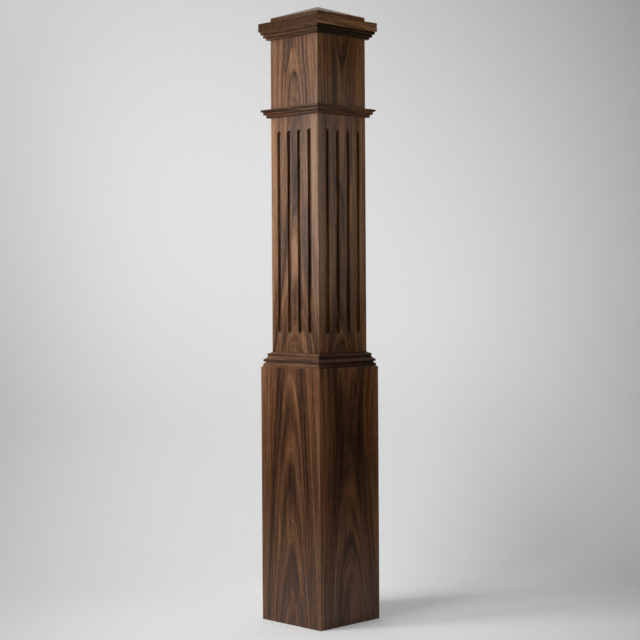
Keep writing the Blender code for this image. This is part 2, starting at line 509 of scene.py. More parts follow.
def cloud(tree, place, waves, detail=2.0, rough=0.5, output="Fac"):
    """Smooth noise with a wavelength of its own across, deep and along."""
    scaled = on_vectors(tree, "MULTIPLY", place, tuple(1 / wave for wave in waves))
    noise = add_node(tree, "TexNoise")
    fill(tree, noise, Vector=scaled, Scale=1.0, Detail=detail, Roughness=rough)
    return noise.outputs[output]


def row_of_values(tree, where, wave, seed, detail=1.0):
    """Smooth noise along a single length."""
    noise = add_node(tree, "TexNoise", noise_dimensions="1D")
    counted = maths(tree, "ADD", maths(tree, "DIVIDE", where, wave), seed)
    return fill(tree, noise, W=counted, Scale=1.0, Detail=detail).outputs["Fac"]


def centred(tree, value, amount):
    """A value from 0 to 1 turned into plus and minus half of an amount."""
    return maths(tree, "MULTIPLY", maths(tree, "SUBTRACT", value, 0.5), amount)


def spread(tree, value, low, high, to_low=0.0, to_high=1.0):
    """A range of values stretched to another, with nothing beyond."""
    made = add_node(tree, "MapRange", (value, low, high, to_low, to_high), clamp=True)
    return made.outputs["Result"]


def ramped(tree, value, stops):
    """The colour that a value has between the stops of a ramp."""
    ramp = add_node(tree, "ValToRGB", (value,))
    elements = ramp.color_ramp.elements
    elements[0].position, elements[0].color = stops[0]
    elements[1].position, elements[1].color = stops[-1]
    for position, colour in stops[1:-1]:
        elements.new(position).color = colour
    return ramp.outputs["Color"]


def pushed(tree, place, noise_at, waves, detail, rough, sway):
    """A place moved to and fro by a coloured cloud, by up to half of the sway."""
    push = cloud(tree, noise_at, waves, detail, rough, "Color")
    push = on_vectors(tree, "MULTIPLY", on_vectors(tree, "SUBTRACT", push, MIDDLE_GREY), sway)
    return on_vectors(tree, "ADD", place, push)


# %% [markdown]
# ### Distance from the heart
# The heart of a trunk is never straight. Against the board it slopes, bows and twists, by the first
# three powers of the length along the grain. Taking that curve away leaves a point's place in a
# straight trunk, and its distance from the heart is then a plain length. A slow wander and a
# quicker ripple move the point first, so the arches look grown and not drawn.

# %% Growth group
WANDER = {"waves": (60, 60, 300), "detail": 1.0, "rough": 0.4, "sway": (8, 4, 0)}
RIPPLE = {"waves": (22, 22, 90), "detail": 2.0, "rough": 0.5, "sway": (5, 3, 0)}
SEED_STEPS = (137, 71, 911)

sockets = dict.fromkeys(("Vector", "Heart", "Slope", "Bow", "Twist"), NOWHERE) | {"Seed": 0.0}
growth, given, result = new_group("growth_rings", sockets, {"Distance": "Float", "Place": "Vector"})
seed = given["Seed"]
seeds = add_node(growth, "CombineXYZ", (seed, seed, seed)).outputs[0]
elsewhere = on_vectors(growth, "MULTIPLY", seeds, SEED_STEPS)
noise_at = on_vectors(growth, "ADD", given["Vector"], elsewhere)
bent = pushed(growth, given["Vector"], noise_at, **WANDER)
bent = pushed(growth, bent, noise_at, **RIPPLE)

from_middle = on_vectors(growth, "SUBTRACT", bent, given["Heart"])
_, _, along = add_node(growth, "SeparateXYZ", (from_middle,)).outputs
power = along
for label in ("Slope", "Bow", "Twist"):
    powers = add_node(growth, "CombineXYZ", (power, power, 0.0)).outputs[0]
    strayed = on_vectors(growth, "MULTIPLY", powers, given[label])
    from_middle = on_vectors(growth, "SUBTRACT", from_middle, strayed)
    power = maths(growth, "MULTIPLY", power, along)
flat = on_vectors(growth, "MULTIPLY", from_middle, (1, 1, 0))
from_heart = on_vectors(growth, "LENGTH", flat)
fill(growth, result, Distance=from_heart, Place=on_vectors(growth, "ADD", bent, elsewhere))
print(f"growth: {len(growth.nodes)} nodes")

# %% [markdown]
# ### Rings and pores
# A year begins with pale open wood and ends in a thin dark line, and no two years are alike. The
# distance from the heart, counted in ring widths, gives the year, and its fraction the season. The
# pores of walnut are short dark scratches along the grain, most of them in the early wood.

# %% Walnut group, its rings and pores
PACE_WAVE = 21.0
PACE_SWING = 4.0
LATE_WOOD_STARTS = 0.3
YEAR_ENDS = 0.92
LATE_WOOD_CURVE = 1.5
FAINTEST_YEAR = 0.15
PORE_WAVES = (0.34, 0.34, 6.5)
PORE_RANGE = (0.60, 0.70)
PORES_THIN_OUT_TO = 0.7
PORES_IN_LATE_WOOD = 0.35

walnut, given, result = new_group(
    "walnut_grain",
    dict.fromkeys(("Distance", "Seed", "Streak", "Worn", "Recess", "End Grain"), 0.0)
    | {"Vector": NOWHERE, "Ring Width": 4.0, "Band": 0.5, "Tint": WHITE},
    {"Color": "Color", "Roughness": "Float", "Height": "Float"},
)
place = given["Vector"]
from_heart = given["Distance"]
seed = given["Seed"]

pace = row_of_values(walnut, from_heart, PACE_WAVE, seed)
count = maths(walnut, "DIVIDE", from_heart, given["Ring Width"])
count = maths(walnut, "ADD", count, centred(walnut, pace, PACE_SWING))
season = maths(walnut, "FRACT", count)
year = add_node(walnut, "TexWhiteNoise", noise_dimensions="1D")
fill(walnut, year, W=maths(walnut, "ADD", maths(walnut, "FLOOR", count), seed))
late = maths(walnut, "POWER", spread(walnut, season, LATE_WOOD_STARTS, YEAR_ENDS), LATE_WOOD_CURVE)
winter = spread(walnut, season, YEAR_ENDS, 1.0, 1.0, 0.0)
strength = spread(walnut, year.outputs["Value"], 0.0, 1.0, FAINTEST_YEAR, 1.0)
ring = maths(walnut, "MULTIPLY", maths(walnut, "MINIMUM", late, winter), strength)

pore = spread(walnut, cloud(walnut, place, PORE_WAVES, detail=1.0), *PORE_RANGE)
thinned = spread(walnut, season, 0.0, PORES_THIN_OUT_TO, 1.0, PORES_IN_LATE_WOOD)
pore = maths(walnut, "MULTIPLY", pore, thinned)

# %% [markdown]
# ### Tone
# Walnut runs from nearly black to a warm tan, and its tone is a sum of layers. The broad flames
# and lines are read from the distance, so they arch with the rings. The fine fibres and flecks
# only run along the board. The sum goes through a colour ramp.

# %% Tone from layers
MIDDLE_TONE = 0.6
BAND_WAVE = 5.0
BAND_SWING = 0.3
BANDS_APART = 31.0
OWN_RINGS_SWING = 0.62
RING_DARKENS = 0.28
TONES = (
    (0.0, (0.024, 0.011, 0.0055, 1)),
    (0.35, (0.080, 0.0355, 0.0170, 1)),
    (0.65, (0.170, 0.079, 0.036, 1)),
    (1.0, (0.295, 0.150, 0.076, 1)),
)

across, _, along = add_node(walnut, "SeparateXYZ", (place,)).outputs
in_rings = add_node(walnut, "CombineXYZ", (from_heart, across, along)).outputs[0]
# Each layer has a place to be read at, its waves, detail and roughness, and its swing of the tone.
LAYERS = {
    "flames": (in_rings, (9, 60, 260), 2.0, 0.55, 0.55),
    "lines": (in_rings, (3.2, 40, 260), 1.0, 0.5, 0.8),
    "fine": (place, (3.4, 3.4, 190), 1.0, 0.5, 0.85),
    "flecks": (place, (2.8, 2.8, 13), 2.0, 0.6, 0.7),
    "fibre": (place, (1.2, 1.2, 45), 3.0, 0.65, 0.55),
}
bands = row_of_values(walnut, from_heart, BAND_WAVE, maths(walnut, "ADD", seed, BANDS_APART), detail=2.0)
tone = maths(walnut, "ADD", MIDDLE_TONE, centred(walnut, bands, BAND_SWING))
tone = maths(walnut, "ADD", tone, centred(walnut, given["Band"], OWN_RINGS_SWING))
clouds = {}
for layer, (read_at, waves, detail, rough, swing) in LAYERS.items():
    clouds[layer] = cloud(walnut, read_at, waves, detail, rough)
    tone = maths(walnut, "ADD", tone, centred(walnut, clouds[layer], swing))
tone = maths(walnut, "MULTIPLY_ADD", ring, -RING_DARKENS, tone)
wood = ramped(walnut, tone, TONES)
print(f"tone from {len(LAYERS)} layers, through {len(TONES)} colours")

# %% [markdown]
# ### Washes and polish
# Over the plain wood lie thin washes, each a colour multiplied in by a mask: a grey cast in
# drifts, dark streaks, which also lay painted shade on the block's top slopes, pores, end grain,
# which drinks the oil, and painted shade in the hollows of the flutes. Last come the tint of the
# board and a painted highlight, pale along the upright corners. Pores and ends are rougher than
# the rest, hollows a little smoother, and fibres and pores give a slight relief.

# %% Colour, roughness and height of the wood
GREY_CAST = (0.8, 0.87, 0.93, 1)
# The streak wash also lays painted shade on the block's top slopes.
STREAK_AND_TOP_SHADE_DARK = (0.25, 0.24, 0.23, 1)
PORE_DARK = (0.25, 0.2, 0.18, 1)
END_DARK = (0.18, 0.14, 0.105, 1)
# Painted shade in the hollows of the flutes.
HOLLOW_PAINTED_SHADE = (0.76, 0.70, 0.64, 1)
# Painted highlight along the upright corners.
CORNER_HIGHLIGHT_PALE = (0.38, 0.24, 0.155, 1)
GREY_WAVES = (38, 38, 600)
GREY_RANGE = (0.45, 0.75)
MOST_GREY = 0.4
PORE_SHOWS = 0.5
CORNER_HIGHLIGHT_SHOWS = 0.75
ROUGHNESS = 0.33
FIBRE_POLISH = -0.14
FIBRE_RELIEF = 0.4
PORE_RELIEF = -0.8


def washed(colour, amount, wash, blend="MULTIPLY"):
    """The colour with another laid over it."""
    mixed = add_node(walnut, "Mix", data_type="RGBA", blend_type=blend)
    return fill(walnut, mixed, Factor=amount, A=colour, B=wash).outputs["Result"]


grey = spread(walnut, cloud(walnut, place, GREY_WAVES), *GREY_RANGE, 0.0, MOST_GREY)
for amount, wash in (
    (grey, GREY_CAST),
    (given["Streak"], STREAK_AND_TOP_SHADE_DARK),
    (maths(walnut, "MULTIPLY", pore, PORE_SHOWS), PORE_DARK),
    (given["End Grain"], END_DARK),
    (given["Recess"], HOLLOW_PAINTED_SHADE),
    (1.0, given["Tint"]),
):
    wood = washed(wood, amount, wash)
corner_highlight = maths(walnut, "MULTIPLY", given["Worn"], CORNER_HIGHLIGHT_SHOWS)
fill(walnut, result, Color=washed(wood, corner_highlight, CORNER_HIGHLIGHT_PALE, "MIX"))

roughness = maths(walnut, "ADD", centred(walnut, clouds["fibre"], FIBRE_POLISH), ROUGHNESS)
for mask, change in ((pore, 0.2), (given["End Grain"], 0.1), (given["Recess"], -0.1)):
    roughness = maths(walnut, "MULTIPLY_ADD", mask, change, roughness)
relief = centred(walnut, clouds["fibre"], FIBRE_RELIEF)
relief = maths(walnut, "MULTIPLY_ADD", pore, PORE_RELIEF, relief)
fill(walnut, result, Roughness=roughness, Height=relief)
print(f"walnut: {len(walnut.nodes)} nodes")

# %% [markdown]
# ### Dark streaks
# Mineral streaks and small knots leave dark patches that trail off along the grain. A patch is a
# long ellipse on the board's face, leaned over by a shear and frayed by noise. The same group
# makes the broad, weak shades of the boards.

# %% Streak group
FRAYED = {"waves": (14, 14, 80), "detail": 3.0, "rough": 0.6, "sway": (14, 0, 60)}
STREAK_CORE = 0.25
STREAK_EDGE = 1.1

streak, given, result = new_group(
    "dark_streak",
    {"Vector": NOWHERE, "Middle": NOWHERE, "Reach": NOWHERE, "Lean": 0.0},
    {"Mask": "Float"},
)
place = given["Vector"]
offset = on_vectors(streak, "SUBTRACT", place, given["Middle"])
offset = pushed(streak, offset, place, **FRAYED)
across, _, along = add_node(streak, "SeparateXYZ", (offset,)).outputs
across = maths(streak, "MULTIPLY_ADD", along, given["Lean"], across)
offset = add_node(streak, "CombineXYZ", (across, 0.0, along)).outputs[0]
offset = on_vectors(streak, "DIVIDE", offset, given["Reach"])
away = on_vectors(streak, "LENGTH", offset)
fill(streak, result, Mask=spread(streak, away, STREAK_CORE, STREAK_EDGE, 1.0, 0.0))

# %% [markdown]
# ### Painted highlight on corners and painted shade in hollows
# The upright corners of the post get a painted highlight, a pale band in patches where the rounded
# arris catches the light, and the bottoms of the flutes get painted shade. A point's place tells
# both: at a corner both distances from the post's middle planes are close to the half width, and
# in a hollow neither is.

# %% Corner highlight and hollow shade group
# The width of the painted corner highlight, its patches, and the depth of the painted shade in the hollows.
CORNER_HIGHLIGHT_BAND = (0.0004, 0.0014)
CORNER_HIGHLIGHT_WAVES = (0.02, 0.02, 0.05)
CORNER_HIGHLIGHT_RANGE = (0.3, 0.6, 0.5, 1.0)
HOLLOW_DEPTH = (0.0004, 0.002)

highlight_and_shade, given, result = new_group(
    "corner_highlight_and_hollow_shade",
    {"Vector": NOWHERE, "Half Width": 0.1},
    {"Mask": "Float", "Recess": "Float"},
)
place = given["Vector"]
half_width = given["Half Width"]
out_x, out_y, _ = add_node(highlight_and_shade, "SeparateXYZ", (on_vectors(highlight_and_shade, "ABSOLUTE", place),)).outputs
inward = maths(highlight_and_shade, "SUBTRACT", half_width, maths(highlight_and_shade, "MINIMUM", out_x, out_y))
below = maths(highlight_and_shade, "SUBTRACT", half_width, maths(highlight_and_shade, "MAXIMUM", out_x, out_y))
patchy = spread(highlight_and_shade, cloud(highlight_and_shade, place, CORNER_HIGHLIGHT_WAVES, detail=3.0, rough=0.6), *CORNER_HIGHLIGHT_RANGE)
corner_highlight = maths(highlight_and_shade, "MULTIPLY", spread(highlight_and_shade, inward, *CORNER_HIGHLIGHT_BAND, 1.0, 0.0), patchy)
fill(highlight_and_shade, result, Mask=corner_highlight, Recess=spread(highlight_and_shade, below, *HOLLOW_DEPTH))
print(f"streaks: {len(streak.nodes)} nodes, wear: {len(highlight_and_shade.nodes)} nodes")

# %% [markdown]
# ### A heart line for each board
# A board's material turns the post's own coordinates so that across, deep and along are the
# board's, and scales them to millimetres. The heart is a place in the board with its slope, bow
# and twist. A shaft board can have two: behind the neck moulding a second one takes over.

# %% Heart lines
Heart = namedtuple("Heart", "place slope bow twist", defaults=((0, 0), (0, 0), 0))
NECK_JOINT = 1159
SECOND_TREE = 150.0


def tree_distance(tree, place, hearts, seed):
    """The distance from the heart, and the place in the trunk, at each point of a board."""
    distances = []
    for heart in hearts:
        growing = add_node(tree, "Group", node_tree=growth)
        fill(tree, growing, Vector=place, Seed=seed, Heart=heart.place, Slope=(*heart.slope, 0))
        fill(tree, growing, Bow=(*heart.bow, 0), Twist=(0, heart.twist, 0))
        distances.append(growing.outputs["Distance"])
    distance = distances[0]
    if len(hearts) > 1:
        _, _, height = add_node(tree, "SeparateXYZ", (place,)).outputs
        above = maths(tree, "GREATER_THAN", height, NECK_JOINT)
        further = maths(tree, "SUBTRACT", maths(tree, "ADD", distances[1], SECOND_TREE), distance)
        distance = maths(tree, "MULTIPLY_ADD", further, above, distance)
    return distance, growing.outputs["Place"]


# %% [markdown]
# ### What a board has of its own
# Some rings stand out on a board. A colour ramp over the distance holds them, as pairs of a
# distance and a tone, dark near 0 and pale near 1. A board without such a list gets swings of tone
# from noise. Streaks are a list too, and the darkest one wins where two overlap.

# %% Rings, streaks and faces
RING_SCALE = 300.0
TURNED_TO = 0.9
Streak = namedtuple("Streak", "middle reach lean depth")


def ring_tones(tree, distance, rings):
    """The tone of the rings that stand out, each at its distance from the heart."""
    stops = [(reach / RING_SCALE, (value, value, value, 1)) for reach, value in rings]
    stops = [(0.0, (*MIDDLE_GREY, 1)), *stops, (1.0, (*MIDDLE_GREY, 1))]
    return ramped(tree, maths(tree, "DIVIDE", distance, RING_SCALE), stops)


def streak_mask(tree, place, streaks):
    """Where the streaks darken a board, from 0 to 1."""
    darkest = 0.0
    for middle, reach, lean, depth in streaks:
        patch = add_node(tree, "Group", node_tree=streak)
        fill(tree, patch, Vector=place, Middle=(middle[0], 0, middle[1]))
        fill(tree, patch, Reach=(reach[0], 1, reach[1]), Lean=lean)
        amount = maths(tree, "MULTIPLY", patch.outputs["Mask"], depth)
        darkest = maths(tree, "MAXIMUM", darkest, amount)
    return darkest


def faces_along(tree, direction, turned_from, depth):
    """A mask for the faces that look along a direction, from 0 to a depth."""
    facing = on_vectors(tree, "ABSOLUTE", add_node(tree, "TexCoord").outputs["Normal"])
    alike = on_vectors(tree, "DOT_PRODUCT", facing, direction)
    return spread(tree, alike, turned_from, TURNED_TO, 0.0, depth)


# %% [markdown]
# ### The finish of a board
# One function puts the groups together. Uniform numbers, such as the strength of the reflection,
# are set on the shader itself, and only what varies over the wood comes by a link. The bump is
# less than a tenth of a millimetre high, because the wood is sanded and oiled.

# %% A board of walnut
BUMP_STRENGTH = 0.35
BUMP_HEIGHT = 0.00008
TO_MILLIMETRES = (1000, 1000, 1000)
PLAIN_SWING = (0.25, 0.75)
# The way that a masked face looks, and how nearly it has to.
END_FACES = ((0, 1, 0), 0.6)
TOP_FACES = ((0, 0, 1), 0.5)


def board_of_walnut(
    name, turned, hearts, seed, tint, shine, rings=(), streaks=(), half=None, ring_width=7.0, ring_wave=11.0,
    end_depth=0.0, top_shade=0.0,
):
    """A walnut finish, with its grain turned and its heart lines at their places in the board."""
    material = bpy.data.materials.new(name)
    material.use_nodes = True
    tree = material.node_tree
    where = add_node(tree, "TexCoord").outputs["Object"]
    mapping = add_node(tree, "Mapping", (where,))
    place = fill(tree, mapping, Rotation=turned.to_euler(), Scale=TO_MILLIMETRES).outputs[0]

    distance, in_trunk = tree_distance(tree, place, hearts, seed)
    grain = add_node(tree, "Group", node_tree=walnut)
    fill(tree, grain, Vector=in_trunk, Distance=distance, Ring_Width=ring_width, Seed=seed, Tint=(*tint, 1))
    if rings:
        fill(tree, grain, Band=ring_tones(tree, distance, rings))
    else:
        swings = row_of_values(tree, distance, ring_wave, seed, detail=2.0)
        fill(tree, grain, Band=spread(tree, swings, *PLAIN_SWING))
    if streaks:
        fill(tree, grain, Streak=streak_mask(tree, place, streaks))
    if half:
        corner = fill(tree, add_node(tree, "Group", node_tree=highlight_and_shade), Vector=where, Half_Width=half)
        fill(tree, grain, Worn=corner.outputs["Mask"], Recess=corner.outputs["Recess"])
    if end_depth:
        fill(tree, grain, End_Grain=faces_along(tree, *END_FACES, end_depth))
    # Painted shade on the top slopes, laid in through the streak wash.
    if top_shade:
        fill(tree, grain, Streak=faces_along(tree, *TOP_FACES, top_shade))

    bump = fill(tree, add_node(tree, "Bump"), Strength=BUMP_STRENGTH, Distance=BUMP_HEIGHT)
    fill(tree, bump, Height=grain.outputs["Height"])
    shader = tree.nodes["Principled BSDF"]
    fill(tree, shader, Base_Color=grain.outputs["Color"], Roughness=grain.outputs["Roughness"])
    fill(tree, shader, Normal=bump.outputs["Normal"], Specular_IOR_Level=shine)
    return material


# %% [markdown]
# ### Base boards
# The two boards that face the room were sawn near the heart and show tall arches. Their heart
# lines were found by trying slopes and bows until the arches stood where the real ones do. The two
# at the back are plainer, with no rings of their own. A broad weak shade darkens the middle.

# %% Walnut of the base
def quarter(number):
    """The turn that brings a side of the post round to the front."""
    return Matrix.Rotation(-number * pi / 2, 3, "Z")


def woods_of(kind, boards, turned=Matrix.Identity(3), **shared):
    """A finish for each side of the post, with the grain turned to that side."""
    woods = []
    for number, (side, board) in enumerate(zip(SIDES, boards)):
        name = f"{kind}_walnut_{side}"
        woods.append(board_of_walnut(name, turned @ quarter(number), **board, **shared))
    return woods


base_front = dict(
    hearts=[Heart((1.9, -34.2, 290.5), (-0.0031, 0.0641), (-9.3e-6, -5.4e-5), 5.6e-8)],
    seed=3.1,
    tint=(0.84, 0.74, 0.635),
    shine=0.42,
    rings=(
        (37, 0.4), (51, 0.2), (53, 0.65), (60, 0.4), (63, 0.05), (67, 0.9), (71.5, 0.15),
        (74.7, 0.8), (76.5, 0.05), (81, 0.4), (84, 0.1), (95, 0.7), (118, 0.8),
    ),
    streaks=(Streak((0, 335), (130, 190), 0.0, 0.32),),
)
base_right = dict(
    hearts=[Heart((-1.7, -8.3, 290.5), (-0.0182, 0.0572), (4.7e-5, -1.45e-4), -1.7e-7)],
    seed=5.7,
    tint=(0.89, 0.765, 0.585),
    shine=0.32,
    rings=(
        (63, 0.3), (67, 0.6), (69, 0.25), (77, 0.55), (79, 0.05), (83, 0.5), (85, 0.25), (89, 0.85),
        (93, 0.0), (95, 0.3), (99, 0.15), (109, 0.5), (113, 0.95), (121, 0.6), (127, 1.0), (133, 0.8),
    ),
    streaks=(
        Streak((-27, 520), (9, 70), 0.0, 0.8),
        Streak((20, 531), (7, 22), -0.1, 0.9),
        Streak((-33, 330), (5, 110), 0.05, 0.5),
        Streak((0, 380), (130, 160), 0.0, 0.42),
    ),
)
plain = dict(tint=(0.85, 0.72, 0.58), shine=0.42)
base_back = dict(hearts=[Heart((8, -50, 290), (0.004, 0.055), (0, 2e-5))], seed=7.3, **plain)
base_left = dict(hearts=[Heart((-10, -30, 290), (-0.003, 0.06), (0, -3e-5))], seed=9.9, **plain)
base_woods = woods_of("base", (base_front, base_right, base_back, base_left), half=BASE_FACE)
print(f"base: {len(base_woods)} finishes")

# %% [markdown]
# ### Shaft boards
# The shaft is paler than the base, with dark mineral streaks between the flutes. Each visible
# board has two heart lines, one on each side of the neck moulding. The rings up to about 130 mm
# belong to the lower tree, and those beyond 150 mm to the upper one.

# %% Walnut of the shaft
shaft_front = dict(
    hearts=[
        Heart((0.8, 7.6, 882.0), (0.0085, 0.0370), (8.0e-6, -1.49e-4), 3.9e-7),
        Heart((-0.8, -54.4, 1248.5), (-0.0146, 0.1860), (-5.9e-5, -5.3e-4), -6.7e-6),
    ],
    seed=12.4,
    tint=(0.89, 0.89, 0.88),
    shine=0.19,
    rings=(
        (56.5, 0.1), (58, 0.85), (59.5, 0.1), (61, 0.9), (62.6, 0.0), (65, 0.7), (72, 0.2),
        (79, 0.45), (82, 0.8), (87, 0.1), (92, 0.3), (101, 0.8), (115, 0.8), (158, 0.5),
        (165, 0.6), (169.5, 0.1), (172, 0.5), (176, 0.85), (180, 0.7), (183, 0.15), (187, 0.6),
        (192, 0.3), (198, 0.75), (204, 0.4), (212, 0.7), (221, 0.85), (230, 0.6),
    ),
    streaks=(
        Streak((3, 1010), (9, 50), -0.1, 0.9),
        Streak((-4, 925), (7, 45), -0.3, 0.8),
        Streak((-33, 880), (7, 70), -0.1, 0.6),
        Streak((0, 740), (10, 60), 0.0, 0.4),
        Streak((6, 1232), (16, 16), 0.0, 0.35),
    ),
)
shaft_right = dict(
    hearts=[
        Heart((-1.0, -21.0, 882.0), (0.0103, -0.0218), (-2.8e-5, -1.27e-4), 5.3e-7),
        Heart((0.2, -53.1, 1248.5), (0.0122, -0.0432), (1.34e-4, -8.2e-4), -5.3e-6),
    ],
    seed=14.2,
    tint=(1.05, 0.955, 0.7),
    shine=0.27,
    rings=(
        (42, 0.4), (44.5, 0.6), (47, 0.0), (49, 0.75), (52, 0.4), (54, 0.6), (56, 0.3), (60, 0.5),
        (66, 0.65), (72, 0.45), (80, 0.65), (95, 0.8), (164, 0.4), (169, 0.3), (172, 0.0), (174, 0.4),
        (177, 0.5), (185, 0.15), (193, 0.7), (198, 0.4), (204, 0.6), (212, 0.6), (225, 0.8),
    ),
    streaks=(
        Streak((-4, 965), (8, 60), 0.25, 0.9),
        Streak((1, 890), (9, 40), 0.0, 0.9),
        Streak((31, 855), (6, 30), 0.2, 0.6),
        Streak((8, 1297), (8, 26), 0.0, 0.6),
        Streak((0, 685), (90, 150), 0.0, 0.5),
    ),
)
plain = dict(tint=(0.98, 0.94, 0.8), shine=0.24)
shaft_back = dict(hearts=[Heart((-6, -20, 960), (0.005, 0.04), (0, -5e-5))], seed=16.8, **plain)
shaft_left = dict(hearts=[Heart((8, -30, 960), (-0.004, -0.05), (0, 4e-5))], seed=18.5, **plain)
shaft_woods = woods_of("shaft", (shaft_front, shaft_right, shaft_back, shaft_left), half=SHAFT_FACE)
print(f"shaft: {len(shaft_woods)} finishes")

# %% [markdown]
# ### Mouldings and cap
# Mouldings are run from narrow strips, with the grain along them, so the same growth rings are
# laid on their side, far from the heart and nearly straight. The cap and its block lie with their
# grain from front to back, so the front shows end grain and the sides show long grain. The block's
# slopes on top are given painted shade.

# %% Walnut of the mouldings and the cap
LONGWAYS = Matrix.Rotation(pi / 2, 3, "Y")
ON_ITS_BACK = Matrix.Rotation(pi / 2, 3, "X")
FINE_RINGS = 3.5
MOULDING_HEART = 560.0
MOULDING_HEART_STEP = 10
MOULDING_SLOPE = (0.10, 0.05)


def moulding_walnut(kind, tints_with_painted_light, first_seed):
    """Four finishes with the grain along the moulding, one for each side of the post."""
    boards = []
    for number, tint in enumerate(tints_with_painted_light):
        heart = Heart((MOULDING_HEART + MOULDING_HEART_STEP * number, -20.0, 0.0), MOULDING_SLOPE)
        boards.append(dict(hearts=[heart], seed=first_seed + 2 * number, tint=tint))
    return woods_of(kind, boards, LONGWAYS, shine=0.12, ring_width=FINE_RINGS, ring_wave=3.0)


# A tint for each side, in the order front, right, back, left. The tints of the seen sides also
# paint light and shade, lighter or darker by side, and the crown's right side, under the cap, is
# painted darker as shade.
NECK_TINTS_WITH_PAINTED_LIGHT = ((0.44, 0.355, 0.19), (0.58, 0.45, 0.27), (0.5, 0.43, 0.27), (0.5, 0.43, 0.27))
CROWN_TINTS_WITH_PAINTED_LIGHT = ((0.42, 0.375, 0.285), (0.2, 0.2, 0.135), (0.4, 0.37, 0.25), (0.4, 0.37, 0.25))
BASE_TINTS_WITH_PAINTED_LIGHT = ((0.93, 1.0, 1.13), (0.41, 0.42, 0.46), (0.7, 0.72, 0.75), (0.7, 0.72, 0.75))
neck_moulding_woods = moulding_walnut("neck_moulding", NECK_TINTS_WITH_PAINTED_LIGHT, first_seed=21.0)
crown_moulding_woods = moulding_walnut("crown_moulding", CROWN_TINTS_WITH_PAINTED_LIGHT, first_seed=31.0)
base_moulding_woods = moulding_walnut("base_moulding", BASE_TINTS_WITH_PAINTED_LIGHT, first_seed=41.0)
flat_board = dict(turned=ON_ITS_BACK, ring_width=FINE_RINGS, ring_wave=4.0)
cap_wood = board_of_walnut(
    "cap_walnut",
    hearts=[Heart((60.0, -1290.0, 0.0), (0, 0.05))],
    seed=31.0,
    tint=(1.8, 1.93, 1.72),
    shine=0.1,
    end_depth=1.0,
    **flat_board,
)
block_wood = board_of_walnut(
    "block_walnut",
    hearts=[Heart((75.0, -1310.0, 0.0), (0.02, 0.04))],
    seed=36.0,
    tint=(1.83, 2.0, 1.97),
    shine=0.12,
    end_depth=0.78,
    top_shade=0.6,
    **flat_board,
)
print(f"{len(bpy.data.materials)} materials so far")

# %% [markdown]
# ## Four sides
# All four sides have the same shapes, so only the front pieces were modelled. Each is copied and
# turned about the post's middle, with a mesh of its own, and gets the finish of its side. A turn
# is exact, so the mitres of every corner are alike.

# %% Copy round the post
def finish_piece(piece, node, material):
    """Give a piece its wood and say which CAD solid it stands for."""
    piece.name = f"{node}_wood"
    piece.data.materials.clear()
    piece.data.materials.append(material)
    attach(piece, "root")
    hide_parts(node)


RUNS = (
    (base_board, "base_walnut", base_woods),
    (shaft_board, "shaft_walnut", shaft_woods),
    (base_moulding, "moulding_walnut", base_moulding_woods),
    (neck_moulding, "moulding_walnut", neck_moulding_woods),
    (crown_moulding, "moulding_walnut", crown_moulding_woods),
)
for front_piece, slot, woods in RUNS:
    kind = front_piece.name
    smooth_rounds(front_piece)
    for number, side in enumerate(SIDES):
        piece = front_piece
        if number:
            work_on(front_piece)
            bpy.ops.object.duplicate(linked=False)
            piece = bpy.context.object
            piece.rotation_euler.z = number * pi / 2
            settle()
        finish_piece(piece, f"{kind}_{side}", woods[number])
    print(f"{kind}: {len(SIDES)} pieces of {len(front_piece.data.polygons)} faces")
for piece, node, wood in ((cap_board, "cap_board", cap_wood), (peaked_block, "peaked_block", block_wood)):
    smooth_rounds(piece)
    finish_piece(piece, node, wood)

# %% [markdown]
# ## Camera
# The camera stands where the photographer stood, at the post's front right corner and a little
# above half its height. Its place, lens and slight lean were worked out from the corners of the
# post. It looks down by less than a degree, and a small shift moves the post up in the frame. A
# level camera with a larger shift would crop the post's top in the views from other sides.

# %% Camera
AZIMUTH = radians(45.519)
DISTANCE = 3.5368
EYE = 0.7521
LOOKING_DOWN = radians(0.756)
TURNED_RIGHT = radians(0.027)
ROLL = radians(-0.345)

bpy.ops.object.camera_add(location=(sin(AZIMUTH) * DISTANCE, -cos(AZIMUTH) * DISTANCE, EYE))
camera = bpy.context.object
camera.name = "camera"
aim = Matrix.Rotation(AZIMUTH - TURNED_RIGHT, 3, "Z") @ Matrix.Rotation(pi / 2 - LOOKING_DOWN, 3, "X")
camera.rotation_euler = (aim @ Matrix.Rotation(ROLL, 3, "Z")).to_euler()
camera.data.sensor_width = 36
camera.data.lens = 86.67
camera.data.shift_y = -0.0125
bpy.context.scene.camera = camera
print(f"camera {DISTANCE} m away, {EYE} m up, {camera.data.lens:.1f} mm lens")

# %% [markdown]
# ## Paper sweep
# Studio photographs use a roll of paper that lies on the floor and curves up behind the object, so
# no horizon shows. It could be one bent grid. Here the floor is a plane whose far edge is spun a
# quarter turn round a line above it, and then extruded up as the wall.

# %% Floor, bend and wall
PAPER_WIDTH = 2.4
FLOOR_IN_FRONT = 1.8
FLOOR_BEHIND = 0.35
BEND_RADIUS = 0.40
BEND_STEPS = 24
WALL_HEIGHT = 3.0
towards = Vector((sin(AZIMUTH), -cos(AZIMUTH), 0))
rightward = Vector((cos(AZIMUTH), sin(AZIMUTH), 0))


def stage_point(right, near_camera, up):
    """A place in the studio, measured from the post as the camera sees it."""
    return rightward * right + towards * near_camera + Vector((0, 0, up))


